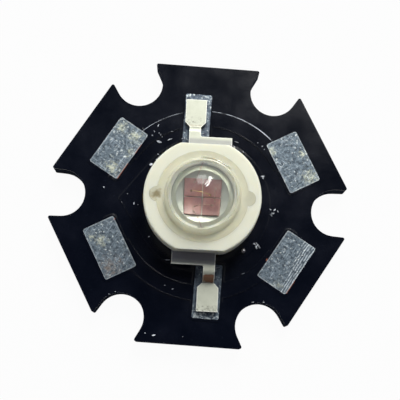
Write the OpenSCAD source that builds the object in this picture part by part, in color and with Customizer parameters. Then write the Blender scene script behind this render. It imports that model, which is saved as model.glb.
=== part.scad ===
/* [Board] */
// Width of the star board across its flats
board_af = 20; // [19.5:0.1:21]
// Thickness of the aluminium plate
plate_t = 1.5; // [0.8:0.1:2]
// Radius of the round bottom of a screw notch
notch_r = 1.67; // [1.6:0.01:1.75]
// Distance from the board's centre to the notch arc's centre
notch_dist = 9.7; // [9.6:0.05:9.8]
// Angle by which each notch wall flares towards its mouth
notch_flare = 2.5; // [1:0.5:12]
// Radius of the rounded star tips
tip_r = 0.12; // [0.08:0.02:0.24]

/* [Circuit layers] */
// Thickness of the filled epoxy layer that insulates the circuit
dielectric_t = 0.08; // [0.06:0.01:0.12]
// Thickness of the copper
copper_t = 0.035; // [0.03:0.005:0.07]
// Thickness of the black solder mask over what it covers
mask_t = 0.02; // [0.015:0.005:0.03]
// How far the mask runs down beside a copper edge
mask_cover = 0.05; // [0.03:0.01:0.08]
// Thickness of the tin on the bare pads
tin_t = 0.025; // [0.022:0.001:0.03]
// Sideways offset of the printed circuit on the punched board
print_x = 0.28; // [-0.3:0.01:0.3]
// Forward and back offset of the printed circuit on the punched board
print_y = -0.11; // [-0.3:0.01:0.3]
// Turn of the printed circuit on the punched board
print_turn = -0.4; // [-1:0.1:1]

/* [Pads and tracks] */
// Short side of a wire pad
wire_pad_w = 2.36; // [2:0.02:2.5]
// Long side of a wire pad
wire_pad_l = 3.92; // [3.2:0.02:3.96]
// Distance of each wire pad from the board's centre
wire_pad_dist = 7.2; // [7:0.05:7.3]
// Corner radius of a wire pad
wire_pad_r = 0.15; // [0.1:0.05:0.5]
// Width of a lead pad
lead_pad_w = 1.88; // [1.7:0.02:2.2]
// Length of a lead pad
lead_pad_l = 3.8; // [3.4:0.1:4]
// Distance of a lead pad's centre from the emitter's axis, forward or back
lead_pad_dist = 6.1; // [6:0.05:6.3]
// Sideways offset of a lead pad
lead_pad_side = 0.84; // [0.6:0.02:0.9]
// Copper hidden under the mask all round a pad
pad_margin = 0.12; // [0.08:0.01:0.2]
// Width of the bare gap etched between two copper areas
etch_gap = 0.2; // [0.15:0.01:0.25]
// Outer radius of the ring tracks that join the pads
track_ro = 6.76; // [6.6:0.02:7.2]
// Inner radius of the ring tracks
track_ri = 5.75; // [5.6:0.05:5.9]
// Radius of the heat spreading copper under the emitter
island_r = 4.78; // [4.4:0.01:4.9]
// Reach of the pointed wing of the heat spreading copper
wing_reach = 5.9; // [5.6:0.05:6.1]
// Radius of the bare copper under the slug
island_open_r = 3.1; // [2.9:0.05:3.4]

/* [Emitter on the board] */
// Sideways offset of the emitter on the board
emitter_x = 0.24; // [0.1:0.01:0.4]
// Forward and back offset of the emitter on the board
emitter_y = -0.07; // [-0.2:0.01:0.05]
// Turn of the emitter on the board
emitter_turn = 1.2; // [-2:0.1:2]
// Thickness of the solder under the slug
slug_solder_t = 0.03; // [0.02:0.01:0.06]
// Thickness of the solder under a lead's foot
foot_solder_t = 0.1; // [0.05:0.01:0.15]

/* [Emitter body] */
// Diameter of the moulded body
body_d = 8.05; // [7.9:0.05:8.1]
// Distance of each flat from the axis
body_flat = 3.65; // [3.5:0.05:3.7]
// Height of the body's underside above the slug's seat
body_z0 = 0.9; // [0.8:0.05:0.95]
// Height of the body's rim above the slug's seat
body_z1 = 3.1; // [3.08:0.01:3.2]
// Radius of the rounded outer edge of the rim
rim_round = 0.12; // [0.05:0.01:0.2]
// Radius of the lens recess at the rim
recess_r_top = 3.13; // [3.12:0.01:3.2]
// Radius of the lens recess at its floor
recess_r = 3.09; // [3.07:0.01:3.12]
// Height of the recess floor above the slug's seat
recess_z = 2.87; // [2.84:0.01:2.9]
// Radius of the gel well round the slug's cup
well_r = 1.5; // [1.49:0.01:1.54]
// Radius of the well's rounded mouth in the recess floor
well_mouth_r = 1.62; // [1.6:0.01:1.68]
// Height of the well's floor
well_z = 2.25; // [2.22:0.01:2.3]
// Distance of the two lens ears from the axis
ear_x = 3.1; // [3:0.05:3.15]
// Radius of the pocket round an ear
ear_pocket_r = 0.52; // [0.5:0.01:0.6]
// Radius of the blind hole that takes an ear's post
ear_hole_r = 0.26; // [0.24:0.01:0.28]

/* [Heat slug] */
// Radius of the slug's foot
slug_foot_r = 2.9; // [2.8:0.05:3]
// Height of the slug's foot
slug_foot_h = 1; // [0.96:0.01:1.04]
// Height of the rounded rim of the slug's cup
slug_h = 2.685; // [2.66:0.005:2.7]
// Radius of the slug's neck, below the slope that leads up to the rim
slug_neck_r = 1.45; // [1.42:0.01:1.46]
// Height of the slope between the neck and the rim
slug_slope_h = 0.125; // [0.1:0.005:0.16]
// Radius of the reflector cup
cup_r = 1.18; // [1.17:0.01:1.2]
// Depth of the reflector cup
cup_depth = 0.36; // [0.32:0.01:0.4]

/* [Leads] */
// Thickness of the lead strip
lead_t = 0.4; // [0.36:0.01:0.42]
// Height of the lead strip's underside where it leaves the body
lead_z = 1.155; // [1.1:0.005:1.2]
// Width of the tab beside the body
tab_w = 3.02; // [2.8:0.02:3.1]
// Left edge of the back lead's tab
tab_x0 = -1.13; // [-1.2:0.01:-1.1]
// Distance of the tab's outer edge from the axis
tab_y1 = 4.5; // [4.4:0.05:4.6]
// Width of the neck
neck_w = 0.8; // [0.7:0.05:0.9]
// Distance of the back lead's neck end from the axis
neck_y1 = 5.45; // [5.4:0.01:5.5]
// Width of the foot
foot_w = 1.47; // [1.4:0.01:1.55]
// Distance of the back foot's tip from the axis
foot_y1 = 7.45; // [7.4:0.01:7.5]
// Inner radius of the bends
bend_r = 0.1; // [0.08:0.01:0.16]
// Distance from the axis at which the lead starts down to its foot
drop_y = 4.82; // [4.78:0.01:4.9]
// Steepness of the back lead between its two bends
back_drop = 80; // [70:1:84]
// Steepness of the front lead between its two bends: a lower one puts its foot further out
front_drop = 68; // [66:1:84]
// Width of the bond tip at the lead's inner end
tip_w = 0.3; // [0.26:0.02:0.4]
// Distance of the bond tip's end from the axis
tip_y = 1.475; // [1.47:0.005:1.48]
// Distance from the axis to which the moulding leaves the bond tip bare
window_y = 1.64; // [1.62:0.01:1.7]
// Height of the bond tip's face above the slug's seat
tip_z = 2.5; // [2.45:0.01:2.55]

/* [Lens and gel] */
// Radius of the lens dome
dome_r = 2.65; // [2.6:0.01:2.68]
// Height of the dome's centre above the slug's seat
dome_z = 2.755; // [2.72:0.005:2.8]
// Outer radius of the lens flange
flange_r = 3.04; // [3:0.01:3.06]
// Thickness of the lens flange
flange_t = 0.16; // [0.12:0.01:0.2]
// Radius of the fillet between dome and flange
dome_fillet = 0.12; // [0.08:0.01:0.16]
// Radius of the lens's ears
ear_r = 0.48; // [0.44:0.01:0.49]
// Length of the posts under the lens's ears
ear_post_l = 0.35; // [0.3:0.05:0.8]
// Radius of the hollow under the lens
hollow_r = 2; // [1.95:0.01:2.1]
// Height of the hollow under the lens
hollow_h = 0.3; // [0.25:0.01:0.4]

/* [Chips and wires] */
// Side of one chip
chip_w = 0.77; // [0.7:0.01:0.77]
// Thickness of one chip
chip_t = 0.13; // [0.1:0.01:0.15]
// Gap between the chips
chip_gap = 0.04; // [0.03:0.005:0.04]
// How far the chips sit towards the back of the cup
array_y = 0.05; // [0:0.01:0.06]
// Thickness of the adhesive under a chip
attach_t = 0.02; // [0.01:0.005:0.03]
// Diameter of the bond wires
wire_d = 0.03; // [0.025:0.001:0.035]
// Height of a bond wire's arch
wire_arch = 0.3; // [0.25:0.01:0.33]

/* [Hidden] */
$fn = 96;
eps = 0.01;
cut = 1;
black = [0.05, 0.06, 0.09];
tin = [0.55, 0.58, 0.6];
silver = [0.86, 0.86, 0.8];
copper = [0.78, 0.45, 0.28];
clear = [0.8, 0.85, 0.9, 0.35];

copper_z = plate_t + dielectric_t;
pad_z = copper_z + copper_t;
seat_z = pad_z + slug_solder_t;
hex_r = board_af / 2 / cos(30);
pad_angles = [150, 30, 210, 330];
foot_z = pad_z + tin_t + foot_solder_t - seat_z;
neck_x = tab_x0 + neck_w / 2;
shoulder = (foot_w - neck_w) / 2;
cup_z = slug_h - cup_depth;
chip_z = cup_z + attach_t;
chip_top = chip_z + chip_t;
chip_pitch = chip_w + chip_gap;
flange_z = recess_z + flange_t;
rim_edge = 0.04;
lead_corner_r = 0.12;
strip_start_y = 2;
riser_y = 2.2;
riser_w = 1.1;
ear_play = 0.02;

function polar(r, a) = [r * cos(a), r * sin(a)];
function arc(c, r, a0, a1, steps) = [for (i = [0 : steps]) c + polar(r, a0 + (a1 - a0) * i / steps)];

// Length of the straight slope between a lead's two bends, and how far out the whole drop runs
function slope_l(drop) = (lead_z - foot_z - (2 * bend_r + lead_t) * (1 - cos(drop))) / sin(drop);
function drop_run(drop) = (2 * bend_r + lead_t) * sin(drop) + slope_l(drop) * cos(drop);
function drop_of(side) = side == 0 ? back_drop : front_drop;
// How much further out than the back lead's a foot sits
function extra(side) = drop_run(drop_of(side)) - drop_run(back_drop);

// One screw notch as it is cut out of the hexagon, at its corner on the +X side
module notch() {
    tangent = polar(notch_r, 90 + notch_flare) + [notch_dist, 0];
    reach = hex_r + cut;
    mouth = tangent[1] + (reach - tangent[0]) * tan(notch_flare);
    translate([notch_dist, 0]) circle(notch_r);
    polygon([tangent, [reach, mouth], [reach, -mouth], [tangent[0], -tangent[1]]]);
}

// The sliver that rounding takes off the tip between the top flat and the notch at its right
module tip_sliver() {
    wall = 60 + notch_flare;
    tangent = polar(notch_dist, 60) + polar(notch_r, 150 + notch_flare);
    tip = [tangent[0] + (board_af / 2 - tangent[1]) / tan(wall), board_af / 2];
    back_off = tip_r / tan(wall / 2);
    round_centre = tip + [-back_off, -tip_r];
    difference() {
        polygon([tip + [cut, cut], tip + [-back_off, cut], tip + [-back_off, 0], round_centre,
                 tip - polar(back_off, wall), tip + [cut, -back_off]]);
        translate(round_centre) circle(tip_r, $fn = 48);
    }
}

module star_outline() {
    difference() {
        circle(hex_r, $fn = 6);
        for (k = [0 : 5]) rotate(60 * k) notch();
        for (k = [0 : 5]) rotate(60 * k) {
            tip_sliver();
            mirror([1, 0]) tip_sliver();
        }
    }
}

module rounded_rect(w, l, r) {
    square([w - 2 * r, l], center = true);
    square([w, l - 2 * r], center = true);
    for (x = [-1, 1], y = [-1, 1]) translate([x * (w / 2 - r), y * (l / 2 - r)]) circle(r, $fn = 48);
}

module on_print() {
    translate([print_x, print_y]) rotate(print_turn) children();
}

module wire_pad(k, grow = 0) {
    on_print() rotate(pad_angles[k]) translate([wire_pad_dist, 0])
        rounded_rect(wire_pad_w + 2 * grow, wire_pad_l + 2 * grow, wire_pad_r + grow);
}

module lead_pad(side, grow = 0) {
    on_print() rotate(side * 180) translate([-lead_pad_side, lead_pad_dist])
        rounded_rect(lead_pad_w + 2 * grow, lead_pad_l + 2 * grow, lead_corner_r + grow);
}

// The net on one side: two wire pads and a lead pad joined by a ring track
module net(side, grow = 0) {
    for (k = [0, 1]) wire_pad(k + 2 * side, pad_margin + grow);
    lead_pad(side, pad_margin + grow);
    on_print() rotate(side * 180) intersection() {
        difference() {
            circle(track_ro + grow, $fn = 180);
            circle(track_ri - grow, $fn = 180);
        }
        polygon([[0, 0], polar(2 * track_ro, 30), [0, 2 * track_ro], polar(2 * track_ro, 150)]);
    }
}

// Round island with one pointed wing whose edges leave the circle as tangents, cleared round the lead pads
module island(grow = 0) {
    r = island_r + grow;
    reach = wing_reach + grow;
    foot = 180 - acos(r / reach);
    difference() {
        on_print() {
            circle(r, $fn = 180);
            polygon([[0, 0], polar(r, foot), [-reach, 0], polar(r, -foot)]);
        }
        for (side = [0, 1]) lead_pad(side, pad_margin + etch_gap - grow);
    }
}

module aluminium_base() {
    color([0.72, 0.73, 0.75]) linear_extrude(plate_t) star_outline();
}

module dielectric_layer() {
    color([0.85, 0.83, 0.75]) translate([0, 0, plate_t]) linear_extrude(dielectric_t) star_outline();
}

module copper_layer() {
    color(copper) translate([0, 0, copper_z]) linear_extrude(copper_t) children();
}

module solder_mask() {
    color(black) difference() {
        translate([0, 0, copper_z]) {
            linear_extrude(mask_t) star_outline();
            linear_extrude(copper_t + mask_t) {
                net(0, mask_cover);
                net(1, mask_cover);
                island(mask_cover);
            }
        }
        translate([0, 0, copper_z - cut]) linear_extrude(copper_t + cut) {
            net(0);
            net(1);
            island();
        }
        translate([0, 0, copper_z]) linear_extrude(cut) {
            for (k = [0 : 3]) wire_pad(k);
            for (side = [0, 1]) lead_pad(side);
            on_print() circle(island_open_r);
        }
    }
}

module tinned() {
    color(tin) translate([0, 0, pad_z]) linear_extrude(tin_t) children();
}

module on_board() {
    translate([emitter_x, emitter_y, seat_z]) rotate(emitter_turn) children();
}

// Low solder cushion between the tinned pad and a lead's foot
module lead_solder(side) {
    inset = 0.25;
    taper = 0.9;
    low = foot_z - foot_solder_t;
    shoulder_y = neck_y1 + shoulder;
    color(tin) on_board() rotate(side * 180)
        translate([neck_x, (shoulder_y + foot_y1) / 2 + extra(side), low])
            linear_extrude(foot_solder_t, scale = taper)
                square([foot_w - inset, foot_y1 - shoulder_y - 2 * inset], center = true);
}

module slug_solder() {
    color(tin) on_board() translate([0, 0, -slug_solder_t]) linear_extrude(slug_solder_t) circle(slug_foot_r);
}

// Half section of the slug: foot, waist, neck, the slope up to the cup's rounded rim, and the cup itself
module slug_outline(cup) {
    chamfer = 0.06;
    waist_r = 1.9;
    waist_z = 1.45;
    neck_z = 2.02;
    slope_z = slug_h - slug_slope_h;
    body = [[0, 0], [slug_foot_r - chamfer, 0], [slug_foot_r, chamfer], [slug_foot_r, slug_foot_h],
            [waist_r, slug_foot_h], [waist_r, waist_z], [slug_neck_r, neck_z], [slug_neck_r, slope_z]];
    polygon(cup ? concat(body, arc([cup_r + rim_edge, slug_h - rim_edge], rim_edge, 55, 180, 10),
                         [[cup_r, cup_z], [0, cup_z]])
                : concat(body, [[0, slope_z]]));
}

module heat_slug() {
    color(silver) on_board() rotate_extrude() slug_outline(true);
}

// Side view of the strip outside the body, from the tab to the foot, x outwards and y up
module lead_profile(side) {
    drop = drop_of(side);
    foot_end = foot_y1 + extra(side);
    over = [drop_y, lead_z - bend_r];
    slope = over + polar(bend_r, 90 - drop) + polar(slope_l(drop), -drop);
    under = slope + polar(bend_r + lead_t, 90 - drop);
    polygon(concat([[riser_y, lead_z]],
                   arc(over, bend_r, 90, 90 - drop, 8),
                   arc(under, bend_r + lead_t, 270 - drop, 270, 8),
                   [[foot_end, foot_z], [foot_end, foot_z + lead_t]],
                   arc(under, bend_r, 270, 270 - drop, 8),
                   arc(over, bend_r + lead_t, 90 - drop, 90, 8),
                   [[riser_y, lead_z + lead_t]]));
}

// Plan of a lead: tab, neck, shoulders and foot
module lead_plan(side) {
    fillet = 0.15;
    neck_end = neck_y1 + extra(side);
    foot_end = foot_y1 + extra(side);
    translate([tab_x0, strip_start_y]) square([tab_w, tab_y1 - strip_start_y]);
    translate([tab_x0, strip_start_y]) square([neck_w, neck_end + eps - strip_start_y]);
    difference() {
        translate([tab_x0 + neck_w, tab_y1]) square(fillet);
        translate([tab_x0 + neck_w + fillet, tab_y1 + fillet]) circle(fillet, $fn = 32);
    }
    polygon([[neck_x - neck_w / 2, neck_end], [neck_x - foot_w / 2, neck_end + shoulder],
             [neck_x - foot_w / 2, foot_end], [neck_x + foot_w / 2, foot_end],
             [neck_x + foot_w / 2, neck_end + shoulder], [neck_x + neck_w / 2, neck_end]]);
}

module lead(side) {
    color(silver) on_board() rotate(side * 180) {
        intersection() {
            rotate([90, 0, 90]) linear_extrude(2 * tab_w, center = true) lead_profile(side);
            linear_extrude(2 * tip_z, center = true) lead_plan(side);
        }
        lead_root();
    }
}

// The strip inside the moulding: a riser, an arm towards the slug and the narrow bond tip
module lead_root() {
    arm_t = 0.3;
    arm_y = 1.85;
    translate([-riser_w / 2, riser_y, lead_z]) cube([riser_w, lead_t, tip_z - lead_z]);
    translate([0, 0, tip_z - arm_t]) linear_extrude(arm_t) {
        translate([-riser_w / 2, arm_y]) square([riser_w, riser_y + eps - arm_y]);
        translate([-tip_w / 2, tip_y]) square([tip_w, arm_y + eps - tip_y]);
    }
}

module body_outline() {
    draft = 0.12;
    parting = 0.02;
    polygon(concat([[0, body_z0], [body_d / 2 - draft, body_z0], [body_d / 2 + parting, lead_z + lead_t]],
                   arc([body_d / 2 - rim_round, body_z1 - rim_round], rim_round, 0, 90, 4),
                   [[0, body_z1]]));
}

// Half section of the room cut out over the well's floor and the recess floor
module opening_outline() {
    lip = 0.03;
    lip_depth = 0.2;
    polygon([[0, well_z], [well_r, well_z], [well_r, recess_z - lip_depth],
             [well_mouth_r - 2 * lip, recess_z - lip], [well_mouth_r, recess_z], [recess_r, recess_z],
             [recess_r_top, body_z1], [recess_r_top, body_z1 + cut], [0, body_z1 + cut]]);
}

module emitter_body() {
    window_play = 0.02;
    ear_hole_depth = ear_post_l + ear_play;
    color([0.9, 0.89, 0.79]) difference() {
        on_board() difference() {
            intersection() {
                rotate_extrude() body_outline();
                translate([-body_d, -body_flat, 0]) cube([2 * body_d, 2 * body_flat, 2 * body_z1]);
            }
            rotate_extrude() opening_outline();
            for (side = [0, 1]) rotate(side * 180)
                translate([-tip_w / 2 - window_play, 0, tip_z - window_play])
                    cube([tip_w + 2 * window_play, window_y, cut]);
            for (x = [-ear_x, ear_x]) translate([x, 0, recess_z]) {
                cylinder(h = cut, r = ear_pocket_r, $fn = 48);
                translate([0, 0, -ear_hole_depth])
                    cylinder(h = ear_hole_depth + eps, r = ear_hole_r, $fn = 48);
            }
            rotate_extrude() slug_outline(false);
        }
        lead(0);
        lead(1);
    }
}

// Chip places run round the array in the order of the circuit
function chip_xy(k) = [[-1, 1], [1, 1], [1, -1], [-1, -1]][k] * chip_pitch / 2 + [0, array_y];

module chip_adhesive() {
    color([0.7, 0.7, 0.68]) on_board() for (k = [0 : 3])
        translate([chip_xy(k)[0] - chip_w / 2, chip_xy(k)[1] - chip_w / 2, cup_z])
            cube([chip_w, chip_w, attach_t]);
}

module chip(k) {
    color([0.45, 0.14, 0.1]) on_board()
        translate([chip_xy(k)[0] - chip_w / 2, chip_xy(k)[1] - chip_w / 2, chip_z])
            cube([chip_w, chip_w, chip_t]);
}

// A round arch of gold wire from a ball on a chip to a flat stitch
module bond_wire(from, to, from_z, to_z) {
    ball_h = 0.03;
    ball_r = 0.045;
    stitch_r = 0.04;
    span = norm(to - from);
    rise = to_z - from_z;
    chord = norm([span, rise]);
    r = (chord * chord / 4 + wire_arch * wire_arch) / (2 * wire_arch);
    half = acos((r - wire_arch) / r);
    color("gold") on_board() translate([from[0], from[1], from_z]) {
        cylinder(h = ball_h, r = ball_r, $fn = 32);
        rotate([0, 0, atan2(to[1] - from[1], to[0] - from[0])]) {
            translate([span, 0, rise]) cylinder(h = ball_h, r = stitch_r, $fn = 32);
            translate([0, 0, ball_h / 2]) rotate([0, -atan2(rise, span), 0])
                translate([chord / 2, 0, wire_arch - r]) rotate([90, 0, 0]) rotate([0, 0, 90 - half])
                    rotate_extrude(angle = 2 * half) translate([r, 0]) circle(wire_d / 2, $fn = 16);
        }
    }
}

// Five wires: in from the back lead, across the four chips, out to the front lead. The places of the balls
// and stitches are given from the chip's centre, the landing on a bond tip from the emitter's axis
module wire(k) {
    balls = [[0.05, 0.24], [-0.08, -0.15], [0.15, 0], [0.05, 0.05], [0.05, -0.24]];
    stitches = [[-0.06, -0.3], [0.15, 0.24], [0.05, -0.05]];
    landing = [-0.06, 1.55];
    ball = chip_xy(max(k - 1, 0)) + balls[k];
    if (k == 0) bond_wire(ball, landing, chip_top, tip_z);
    if (k > 0 && k < 4) bond_wire(ball, chip_xy(k) + stitches[k - 1], chip_top, chip_top);
    if (k == 4) bond_wire(ball, -landing, chip_top, tip_z);
}

// The hollow under the lens, which the gel fills
module hollow(grow = 0) {
    translate([0, 0, recess_z - grow]) cylinder(h = hollow_h + grow, r = hollow_r);
}

// Everything the gel fills under the lens: the body, the leads, the slug and what it carries are cut from it
module silicone_gel() {
    color(clear) difference() {
        on_board() {
            hollow();
            translate([0, 0, well_z]) cylinder(h = recess_z - well_z, r = hollow_r);
        }
        emitter_body();
        heat_slug();
        lead(0);
        lead(1);
        chip_adhesive();
        for (k = [0 : 3]) chip(k);
        for (k = [0 : 4]) wire(k);
    }
}

module lens() {
    lift = flange_z + dome_fillet - dome_z;
    fillet_x = sqrt(pow(dome_r + dome_fillet, 2) - lift * lift);
    fillet_h = dome_fillet * (1 - lift / (dome_r + dome_fillet));
    color(clear) on_board() difference() {
        union() {
            intersection() {
                translate([0, 0, dome_z]) sphere(dome_r, $fn = 128);
                translate([-dome_r, -dome_r, recess_z]) cube(2 * dome_r);
            }
            translate([0, 0, recess_z]) cylinder(h = flange_t, r = flange_r);
            rotate_extrude() difference() {
                translate([fillet_x - 2 * dome_fillet, flange_z]) square([2 * dome_fillet, fillet_h]);
                translate([fillet_x, flange_z + dome_fillet]) circle(dome_fillet, $fn = 64);
            }
            for (x = [-ear_x, ear_x]) translate([x, 0, recess_z]) {
                cylinder(h = flange_t, r = ear_r, $fn = 48);
                translate([0, 0, -ear_post_l])
                    cylinder(h = ear_post_l + eps, r = ear_hole_r - ear_play, $fn = 48);
            }
        }
        hollow(hollow_h);
    }
}

aluminium_base();
dielectric_layer();
copper_layer() island();  // thermal_copper
copper_layer() net(0);  // back_copper
copper_layer() net(1);  // front_copper
solder_mask();
tinned() wire_pad(0);  // wire_pad_back_left
tinned() wire_pad(1);  // wire_pad_back_right
tinned() wire_pad(2);  // wire_pad_front_left
tinned() wire_pad(3);  // wire_pad_front_right
tinned() lead_pad(0);  // lead_pad_back
tinned() lead_pad(1);  // lead_pad_front
lead_solder(0);  // lead_solder_back
lead_solder(1);  // lead_solder_front
slug_solder();
heat_slug();
emitter_body();
lead(0);  // lead_back
lead(1);  // lead_front
chip_adhesive();
chip(0);  // chip_back_left
chip(1);  // chip_back_right
chip(2);  // chip_front_right
chip(3);  // chip_front_left
wire(0);  // bond_wire_in
wire(1);  // bond_wire_back
wire(2);  // bond_wire_right
wire(3);  // bond_wire_front
wire(4);  // bond_wire_out
silicone_gel();
lens();
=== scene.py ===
# A high power light-emitting diode: a moulded emitter under a clear dome, soldered to a black star-shaped
# board with an aluminium core. The file follows the object as it is put together, from the punched plate
# up to the lens, and ends with the room that it lies in.
import math
import random

import bmesh
import bpy
from mathutils import Matrix, Vector


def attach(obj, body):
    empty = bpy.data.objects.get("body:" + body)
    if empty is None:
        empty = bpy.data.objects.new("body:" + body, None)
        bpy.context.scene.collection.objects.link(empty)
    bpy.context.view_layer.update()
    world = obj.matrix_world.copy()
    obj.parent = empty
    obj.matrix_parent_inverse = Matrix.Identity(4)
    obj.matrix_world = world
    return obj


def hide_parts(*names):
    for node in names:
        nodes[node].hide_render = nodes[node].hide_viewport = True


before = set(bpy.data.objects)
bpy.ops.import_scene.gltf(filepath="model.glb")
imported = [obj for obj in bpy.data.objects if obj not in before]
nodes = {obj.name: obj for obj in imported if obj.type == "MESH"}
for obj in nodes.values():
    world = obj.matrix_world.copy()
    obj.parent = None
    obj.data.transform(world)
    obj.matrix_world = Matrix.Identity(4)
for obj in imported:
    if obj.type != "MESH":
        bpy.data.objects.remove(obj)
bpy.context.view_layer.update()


# ---- Punched plate -----------------------------------------------------------
# The board's core is 1.5 mm aluminium sheet, sheared to a star with a press tool. The back keeps the
# mill's satin face, and the sheared walls show short scratches across the sheet's thickness.

MM = 0.001  # the scene is in metres, and the sizes below are in millimetres


def linear(hexcode):
    """An sRGB hex colour as Blender's linear RGBA."""
    parts = [int(hexcode[i:i + 2], 16) / 255 for i in (1, 3, 5)]
    return [c / 12.92 if c <= 0.04045 else ((c + 0.055) / 1.055) ** 2.4 for c in parts] + [1.0]


def add(material, kind, links=None, **settings):
    """Adds a node with its settings and links to a material or world, and returns it."""
    tree = material.node_tree
    node = tree.nodes.new("ShaderNode" + kind)
    for name, value in settings.items():
        setattr(node, name, value)
    for socket, value in (links or {}).items():
        if isinstance(value, bpy.types.NodeSocket):
            tree.links.new(value, node.inputs[socket])
        else:
            node.inputs[socket].default_value = value
    return node


def new_material(name):
    """An empty material and its coordinates in mm, so that a pattern's Scale is its grains to the mm."""
    material = bpy.data.materials.new(name)
    material.use_nodes = True
    material.node_tree.nodes.clear()
    place = add(material, "TexCoord").outputs["Object"]
    in_mm = add(material, "VectorMath", {0: place, "Scale": 1 / MM}, operation="SCALE").outputs[0]
    return material, in_mm


def finish_material(material, shader):
    """Ends a material with its shader."""
    add(material, "OutputMaterial", {"Surface": shader.outputs[0]})


def dress(node_name, material):
    """Gives a CAD node its finish."""
    nodes[node_name].data.materials.clear()
    nodes[node_name].data.materials.append(material)


# Rolled aluminium: the back is bright and satin. The sheared walls are coloured a dark blue-grey, with pale
# flecks of 0.3 mm painted on as glints, and scratches 0.07 mm wide run across the sheet's thickness.
SHEARED_AL, in_mm = new_material("aluminium_rolled_sheared")
stretched = add(SHEARED_AL, "Mapping", {"Vector": in_mm, "Scale": (14, 14, 2.2)})
scratches = add(SHEARED_AL, "TexNoise", {"Vector": stretched.outputs[0], "Scale": 1.0, "Detail": 4.0})
bare = add(SHEARED_AL, "MixRGB", {"Fac": scratches.outputs["Fac"], "Color1": linear("#8d9299"),
                                  "Color2": linear("#c9ccd0")})
# A dark blue-grey for the walls, far darker than bare aluminium
dark_wall_tone = add(SHEARED_AL, "MixRGB", {"Fac": scratches.outputs["Fac"], "Color1": linear("#1e212b"),
                                     "Color2": linear("#424957")})
# Pale flecks painted on the walls as glints
wall_glint_noise = add(SHEARED_AL, "TexNoise", {"Vector": in_mm, "Scale": 3.5, "Detail": 4.0, "Roughness": 0.7})
painted_wall_glint = add(SHEARED_AL, "MapRange", {"Value": wall_glint_noise.outputs["Fac"], "From Min": 0.7, "From Max": 0.76})
wall = add(SHEARED_AL, "MixRGB", {"Fac": painted_wall_glint.outputs[0], "Color1": dark_wall_tone.outputs[0],
                                  "Color2": linear("#8b93a2")})
facing = add(SHEARED_AL, "SeparateXYZ", {0: add(SHEARED_AL, "NewGeometry").outputs["Normal"]})
under = add(SHEARED_AL, "MapRange", {"Value": facing.outputs["Z"], "From Min": -0.5, "From Max": -0.9})
tone = add(SHEARED_AL, "MixRGB", {"Fac": under.outputs[0], "Color1": wall.outputs[0],
                                  "Color2": bare.outputs[0]})
rough = add(SHEARED_AL, "MapRange", {"Value": scratches.outputs["Fac"], "To Min": 0.34, "To Max": 0.5})
ridges = add(SHEARED_AL, "Bump", {"Height": scratches.outputs["Fac"], "Strength": 0.35,
                                  "Distance": 0.02 * MM})
finish_material(SHEARED_AL, add(SHEARED_AL, "BsdfPrincipled", {
    "Base Color": tone.outputs[0], "Metallic": under.outputs[0], "Roughness": rough.outputs[0],
    "Specular IOR Level": 0.0, "Normal": ridges.outputs[0]}))
dress("aluminium_base", SHEARED_AL)


# ---- Insulating layer --------------------------------------------------------
# An 80 micron coat of epoxy filled with ceramic powder parts the circuit from the plate. Only its cut
# edge can be seen, a thin line round the board.

# Filled epoxy: dark and matt at its sheared edge, with grains of about 0.03 mm
FILLED_EPOXY, in_mm = new_material("epoxy_filled_cast")
grains = add(FILLED_EPOXY, "TexNoise", {"Vector": in_mm, "Scale": 30.0, "Detail": 2.0})
tone = add(FILLED_EPOXY, "MixRGB", {"Fac": grains.outputs["Fac"], "Color1": linear("#2b2a28"),
                                    "Color2": linear("#4a4842")})
finish_material(FILLED_EPOXY, add(FILLED_EPOXY, "BsdfPrincipled", {
    "Base Color": tone.outputs[0], "Roughness": 0.7}))
dress("dielectric_layer", FILLED_EPOXY)


# ---- Copper ------------------------------------------------------------------
# One ounce copper foil, bonded to the epoxy and etched into two nets and the island under the emitter.
# The mask covers it, so it shows at most as a hairline beside a pad.

# Etched copper: warm red metal, matt from the etch, which bites in grains of 0.04 mm
ETCHED_COPPER, in_mm = new_material("copper_etched_foil")
bite = add(ETCHED_COPPER, "TexNoise", {"Vector": in_mm, "Scale": 25.0, "Detail": 3.0})
tone = add(ETCHED_COPPER, "MixRGB", {"Fac": bite.outputs["Fac"], "Color1": linear("#8c4a34"),
                                     "Color2": linear("#b0705a")})
finish_material(ETCHED_COPPER, add(ETCHED_COPPER, "BsdfPrincipled", {
    "Base Color": tone.outputs[0], "Metallic": 1.0, "Roughness": 0.42}))
for name in ("thermal_copper", "back_copper", "front_copper"):
    dress(name, ETCHED_COPPER)


# ---- Solder mask -------------------------------------------------------------
# A 20 micron coat of black photo-imaged ink, screened over the copper and cured. It runs down over each
# copper edge in a soft shoulder, so the tracks show as faint relief where the light grazes them.

MASK_TOP, MASK_FOOT = 1.6, 1.58   # the mask's upper and lower face beside the copper
PRINT_X, PRINT_Y = 0.28, -0.11    # the printed circuit's centre, beside the board's own
TRACK_R, TRACK_TOP = 6.82, 1.637  # shoulder of the ring tracks, and the mask's height on it
RING_R = 6.95                     # the ring tracks and their shoulders end within this radius
STRIP_T, LIFT = 0.003, 0.004      # a hairline strip's thickness, and how far it stands off what it lies on
NEAR = 0.001                      # heights no further apart than this are the same


def place_mesh(name, shape, material, thick=0.0):
    """Turns a bmesh drawn in millimetres into an object that rides on the root, and returns it. A strip that
    is drawn as a sheet gets its thickness here."""
    if thick:
        shape.normal_update()
        bmesh.ops.solidify(shape, geom=shape.faces[:], thickness=thick)
    shape.transform(Matrix.Scale(MM, 4))
    mesh = bpy.data.meshes.new(name)
    shape.to_mesh(mesh)
    shape.free()
    mesh.materials.append(material)
    made = bpy.data.objects.new(name, mesh)
    bpy.context.scene.collection.objects.link(made)
    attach(made, "root")
    return made


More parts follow.
